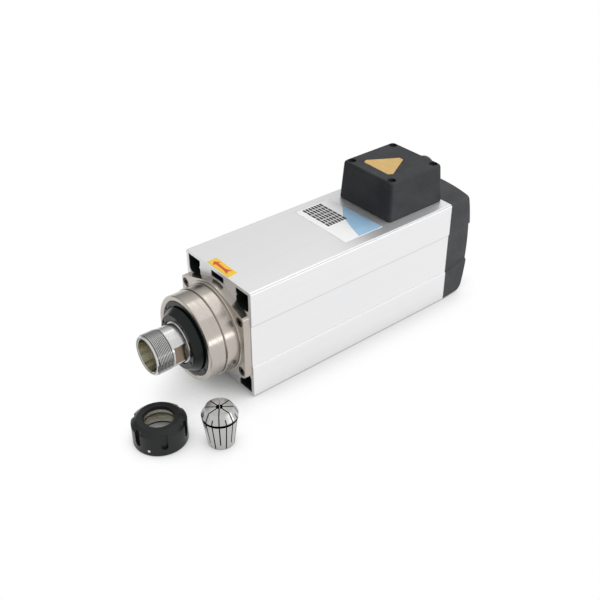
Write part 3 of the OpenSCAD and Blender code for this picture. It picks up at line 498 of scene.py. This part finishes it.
# Connections under the hood: a resin board with brass studs, nuts and links, and a brass
# earth screw in the housing.
red_resin = mottled_finish("moulded_resin", (0.22, 0.035, 0.015), (0.30, 0.055, 0.025),
                           metal=0.0, rough=(0.3, 0.5), clouds=(80, 80, 80),
                           wear=(500, 500, 500), grain=(1800, 1800, 1800), depth=0.00003)
dress("terminal_board", red_resin)
for node in ("terminal_studs", "terminal_nuts", "link_straps", "earth_screw"):
    dress(node, cage_brass)


# Terminal hood, moulded in the same plastic in a darker shade, with its rubber gasket and its
# four sunk screws.
hood_charcoal = (0.026, 0.027, 0.030)
hood_worn = (0.054, 0.055, 0.060)
rubber = mottled_finish("soft_rubber", (0.010, 0.010, 0.010), (0.018, 0.018, 0.018),
                        metal=0.0, rough=(0.62, 0.85), clouds=(120, 120, 120),
                        wear=(300, 300, 300), grain=(1500, 1500, 1500), depth=0.00004)
dress("box_hood", grained_moulding("hood_moulding", hood_charcoal, hood_worn))
dress("box_gasket", rubber)
dress("box_screws", screw_black)


# Cable gland: a moulded nylon body held in the hood by a locknut, with a cap that squeezes
# the rubber sleeve inside.
for node in ("gland_body", "gland_cap", "gland_locknut"):
    dress(node, black_nylon)
dress("gland_seal", rubber)


# Plate on the hood: a thin plastic sheet in gold orange, glued on. It is a triangle with
# its corners cut off, so it has six sides.
film_thickness = 0.00018
film_edge_share = 0.4
hood_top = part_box("box_hood")[1].z
plate_middle = (-0.0001, 0.2100)
plate_long = 0.0220
plate_turn = radians(89)
corner_half = radians(7)
plate_gold = (0.58, 0.37, 0.12)
plate_light = (0.66, 0.44, 0.16)


def printed_film(name, colour, light):
    return mottled_finish(name, colour, light, metal=0.0, rough=(0.34, 0.50),
                          clouds=(110, 110, 110), wear=(260, 260, 260), grain=(900, 900, 900),
                          depth=0.00001, light_share=0.8)


def film(name, outline, low, thickness, finish):
    """A thin flat piece glued on, cut to an outline of (x, y) points, with a soft upper edge."""
    edge = thickness * film_edge_share
    middle = Vector((sum(p[0] for p in outline), sum(p[1] for p in outline))) / len(outline)
    rows = []
    for height, inset in ((0, 0), (thickness - edge, 0), (thickness, edge)):
        row = []
        for x, y in outline:
            toward = (middle - Vector((x, y))).normalized() * inset
            row.append((x + toward.x, y + toward.y, low + height))
        rows.append(row)
    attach(closed_piece(name, rows, finish), "housing")


plate_outline = []
for k in range(3):
    for lean in (-corner_half, corner_half):
        corner = plate_turn + 2 * pi * k / 3 + lean
        plate_outline.append((plate_middle[0] + plate_long * cos(corner),
                              plate_middle[1] + plate_long * sin(corner)))
film("hood_plate", plate_outline, hood_top, film_thickness,
     printed_film("gold_film", plate_gold, plate_light))


# Turning direction sign: a yellow film glued on top near the nose, with a red arrow that
# stands a little proud of it.
housing_top = housing_high.z
arrow_thickness = film_thickness / 2
sign_outline = [(-0.0181, 0.0014), (0.0161, 0.0009), (0.0154, 0.0121), (-0.0188, 0.0125)]
arrow_outline = [
    (-0.0150, 0.0069), (-0.0096, 0.0025), (-0.0096, 0.0053), (0.0035, 0.0049),
    (0.0112, 0.0035), (0.0078, 0.0066), (0.0098, 0.0106), (0.0035, 0.0077),
    (-0.0096, 0.0083), (-0.0090, 0.0110),
]
sign_yellow = printed_film("yellow_film", (0.80, 0.52, 0.03), (0.86, 0.60, 0.06))
arrow_red = printed_film("red_print", (0.62, 0.055, 0.02), (0.70, 0.08, 0.03))
film("direction_sign", sign_outline, housing_top, film_thickness, sign_yellow)
film("direction_arrow", arrow_outline, housing_top + film_thickness, arrow_thickness, arrow_red)


# Rating plate: a white film glued on top of the housing, printed with an empty black table
# and a pale blue field.
rating_outline = [(-0.0393, 0.1247), (0.0367, 0.1236), (0.0381, 0.1723), (-0.0397, 0.1698)]
field_outline = [
    (-0.0209, 0.1712), (-0.0020, 0.1560), (0.0180, 0.1480), (0.0368, 0.1420),
    (0.0378, 0.1718),
]
table_left, table_right = -0.0375, 0.0045
table_near, table_far = 0.1315, 0.1570
table_rows, table_columns = 7, 6
cell_step_x = (table_right - table_left) / table_columns
cell_step_y = (table_far - table_near) / table_rows
cell_share_x, cell_share_y = 0.88, 0.74
cell_width = cell_share_x * cell_step_x
cell_height = cell_share_y * cell_step_y
print_thickness = 0.00005
rating_top = housing_top + film_thickness
white_film = printed_film("white_film", (0.90, 0.90, 0.895), (0.93, 0.93, 0.925))
blue_print = printed_film("blue_print", (0.32, 0.52, 0.72), (0.38, 0.58, 0.76))
black_print = printed_film("black_print", (0.012, 0.012, 0.013), (0.020, 0.020, 0.022))
film("rating_plate", rating_outline, housing_top, film_thickness, white_film)
film("rating_plate_field", field_outline, rating_top, print_thickness, blue_print)
for row in range(table_rows):
    for column in range(table_columns):
        left = table_left + cell_step_x * column
        near = table_near + cell_step_y * row
        cell = [(left, near), (left + cell_width, near),
                (left + cell_width, near + cell_height), (left, near + cell_height)]
        film(f"rating_cell_{row}_{column}", cell, rating_top, print_thickness, black_print)


# Clamping nut: steel, turned, notched for a hook spanner and blackened. It stands loose on
# its threaded side, and one small dimple on its rim carries a painted highlight.
def foot_middle(node):
    """The middle of the foot of a piece that stands by itself."""
    low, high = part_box(node)
    return (low.x + high.x) / 2, (low.y + high.y) / 2, low.z


nut_middle = foot_middle("clamping_nut")
nut_x, nut_y, nut_foot = nut_middle
nut_root = 0.01965
nut_crest = 0.01910
nut_thread_start = nut_foot + 0.0014
nut_thread_end = nut_foot + 0.0132
dimple_turn = radians(-55)
dimple_reach = 0.0242
dimple_height = 0.0055
dimple_radius = 0.0016
dimple_spot = (nut_x + dimple_reach * cos(dimple_turn), nut_y + dimple_reach * sin(dimple_turn),
               nut_foot + dimple_height)
dimple_painted_highlight = (0.95, 0.95, 0.94)
nut_black = black_oxide("nut_black_oxide", (0.015, 0.016, 0.016), 0.30, nut_middle, "Z")
# A painted highlight fills the small dimple on the rim.
away = step(nut_black, "VectorMath", {0: place_on(nut_black), 1: dimple_spot},
            operation="DISTANCE").outputs["Value"]
tint(nut_black, within(nut_black, away, 0.0, dimple_radius), dimple_painted_highlight)
dress("clamping_nut", nut_black)
inner_thread = turned_steel("cut_thread_steel", (0.28, 0.26, 0.21), (0.42, 0.40, 0.33),
                            rough=0.22, middle=nut_middle, axis="Z", marks=1500)
nut_thread = thread_ridge("nut_thread", (nut_x, nut_y, 0.0), "Z", nut_root, nut_crest,
                          nut_thread_start, nut_thread_end, inner_thread)
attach(nut_thread, "nut")


# Extractor ring: bright turned steel, held in the nut but free to turn there. It pulls the
# collet out of the taper when the nut is unscrewed.
ring_bright = turned_steel("bright_ring", (0.66, 0.63, 0.53), (0.80, 0.77, 0.66), rough=0.14,
                           middle=nut_middle, axis="Z", marks=1500)
dress("extractor_ring", ring_bright)


# Spring collet: hardened steel, ground all over and slit from both ends. Its groove, its
# bore and its slits lie in shade.
collet_middle = foot_middle("collet")
collet_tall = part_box("collet")[1].z - collet_middle[2]
collet_bore = 0.0031
groove_low = collet_tall - 0.0115
groove_top = collet_tall - 0.0079
groove_radius = 0.0159
slit_half = 0.00056
slit_slack = 0.001
head_slit_floor = 0.006
head_slit_turn = radians(8)
foot_slit_top = groove_top + 0.0040
foot_slit_turn = radians(30.5)
shadow_black = (0.012, 0.012, 0.012)


def slit_walls(finish, radius, first_turn):
    """Marks the walls of slits that lie 45 degrees apart around the collet."""
    moved = step(finish, "VectorMath", {0: place_on(finish), 1: collet_middle},
                 operation="SUBTRACT").outputs[0]
    spot = step(finish, "SeparateXYZ", {"Vector": moved}).outputs
    turn = step(finish, "Math", {0: spot["Y"], 1: spot["X"]}, operation="ARCTAN2").outputs[0]
    turn = step(finish, "Math", {0: turn, 1: first_turn}, operation="SUBTRACT").outputs[0]
    turn = step(finish, "Math", {0: turn, 1: pi / 8, 2: -pi / 8}, operation="WRAP").outputs[0]
    lean = step(finish, "Math", {0: turn}, operation="SINE").outputs[0]
    return within(finish, both(finish, lean, radius), -slit_half, slit_half)


def ground_collet():
    finish = turned_steel("ground_collet", (0.44, 0.44, 0.43), (0.58, 0.58, 0.57), rough=0.16,
                          middle=collet_middle, axis="Z", marks=1400)
    radius, along = around(finish, collet_middle, "Z")
    groove = ring_zone(finish, radius, (0.0, groove_radius), along, (groove_low, groove_top))
    tint(finish, groove, shadow_black)
    tint(finish, within(finish, radius, 0.0, collet_bore), shadow_black)
    from_head = both(finish, slit_walls(finish, radius, head_slit_turn),
                     within(finish, along, head_slit_floor, collet_tall + slit_slack))
    from_foot = both(finish, slit_walls(finish, radius, foot_slit_turn),
                     within(finish, along, -slit_slack, foot_slit_top))
    tint(finish, from_head, shadow_black)
    tint(finish, from_foot, shadow_black)
    return finish


dress("collet", ground_collet())


# Studio: a pale floor under the parts, soft lamps, a white surround and the camera at the
# photograph's viewing angle.
floor_reach = 6.0
floor_gap = 0.0002
floor_height = cad_box[0][2] - floor_gap
floor_mesh = bpy.data.meshes.new("studio_floor")
floor_mesh.from_pydata([(x * floor_reach, y * floor_reach, floor_height)
                        for x, y in ((-1, -1), (1, -1), (1, 1), (-1, 1))], [], [(0, 1, 2, 3)])
floor = bpy.data.objects.new("studio_floor", floor_mesh)
bpy.context.scene.collection.objects.link(floor)
paper_grey = (0.32, 0.32, 0.32)
paper_rough = 0.9
plain_white = (1, 1, 1, 1)
shade_reach = 0.05
shade_samples = 8
full_shade, no_shade = 0.06, 0.78
paper = new_finish("pale_paper", paper_grey, 0.0, paper_rough)
shader_of(paper).inputs["Specular IOR Level"].default_value = 0.0


def seen_by(owner, *rays):
    """One for rays of the given kinds, such as those that come straight from the camera."""
    path = step(owner, "LightPath", {}).outputs
    total = path[rays[0]]
    for ray in rays[1:]:
        total = step(owner, "Math", {0: total, 1: path[ray]}, operation="MAXIMUM").outputs[0]
    return total


openness = step(paper, "AmbientOcclusion", {"Distance": shade_reach}, samples=shade_samples)
feeds = {"Value": openness.outputs["AO"], "From Min": full_shade, "From Max": no_shade}
open_to_sky = step(paper, "MapRange", feeds).outputs["Result"]
paper_seen = seen_by(paper, "Is Camera Ray", "Is Glossy Ray", "Is Transmission Ray")
share = both(paper, open_to_sky, paper_seen)
glow = step(paper, "Emission", {"Color": plain_white, "Strength": 1.0}).outputs[0]
paper_mix = step(paper, "MixShader", {0: share, 1: shader_of(paper).outputs[0], 2: glow})
paper.node_tree.links.new(paper_mix.outputs[0],
                          paper.node_tree.nodes["Material Output"].inputs["Surface"])
floor_mesh.materials.append(paper)

surround = bpy.data.worlds.new("studio_surround")
bpy.context.scene.world = surround
surround.use_nodes = True
lamp_side = Vector((0.57, 0.58, 0.58)).normalized()
pale_side = Vector((0.80, 0.0, 0.60))
every_way = step(surround, "TexCoord", {}).outputs["Generated"]


def sky_fall(bright_side, turn_from, turn_to, dim, full):
    """A white surround, full towards the bright side and dim away from it."""
    aim = step(surround, "VectorMath", {0: every_way, 1: bright_side}, operation="DOT_PRODUCT")
    feeds = {"Value": aim.outputs["Value"], "From Min": turn_from, "From Max": turn_to,
             "To Min": dim, "To Max": full}
    fall = step(surround, "MapRange", feeds).outputs["Result"]
    return step(surround, "Background", {"Color": plain_white, "Strength": fall}).outputs[0]


def either_sky(choice, first, second):
    return step(surround, "MixShader", {0: choice, 1: first, 2: second}).outputs[0]


soft_light = sky_fall(lamp_side, turn_from=0.25, turn_to=0.95, dim=0.10, full=2.5)
mirrored = sky_fall(pale_side, turn_from=-0.6, turn_to=0.0, dim=0.4, full=1.0)
backdrop = surround.node_tree.nodes["Background"]
backdrop.inputs["Color"].default_value = plain_white
backdrop.inputs["Strength"].default_value = 1.0
all_light = either_sky(seen_by(surround, "Is Glossy Ray"), soft_light, mirrored)
sky_seen = seen_by(surround, "Is Camera Ray", "Is Transmission Ray")
surround.node_tree.links.new(either_sky(sky_seen, all_light, backdrop.outputs[0]),
                             surround.node_tree.nodes["World Output"].inputs["Surface"])

object_middle = Vector((0.0, 0.09, 0.0))


def soft_lamp(name, place, width, height, power):
    """A lamp with a wide soft face, aimed at the middle of the object."""
    lamp = bpy.data.lights.new(name, "AREA")
    lamp.shape = "RECTANGLE"
    lamp.size = width
    lamp.size_y = height
    lamp.energy = power
    holder = bpy.data.objects.new(name, lamp)
    holder.location = place
    holder.rotation_euler = (object_middle - Vector(place)).to_track_quat("-Z", "Y").to_euler()
    bpy.context.scene.collection.objects.link(holder)


soft_lamp("low_strip", (1.40, 0.62, 0.10), width=1.4, height=0.26, power=1.7)
soft_lamp("high_strip", (-0.10, 0.72, 1.25), width=1.4, height=0.16, power=1.3)

camera_place = (0.5872, -0.3814, 0.5000)
camera_turn = radians(50.78)
camera_tilt = radians(34.26)
camera_roll = radians(-0.21)
lens_mm = 54.11
sensor_mm = 36.0
lens = bpy.data.cameras.new("studio_camera")
lens.sensor_width = sensor_mm
lens.lens = lens_mm
camera = bpy.data.objects.new("studio_camera", lens)
camera.location = camera_place
looking = Vector((-sin(camera_turn) * cos(camera_tilt), cos(camera_turn) * cos(camera_tilt),
                  -sin(camera_tilt)))
camera.rotation_euler = looking.to_track_quat("-Z", "Y").to_euler()
camera.rotation_euler.rotate_axis("Z", camera_roll)
bpy.context.scene.collection.objects.link(camera)
bpy.context.scene.camera = camera
bpy.context.scene.view_settings.view_transform = "Standard"
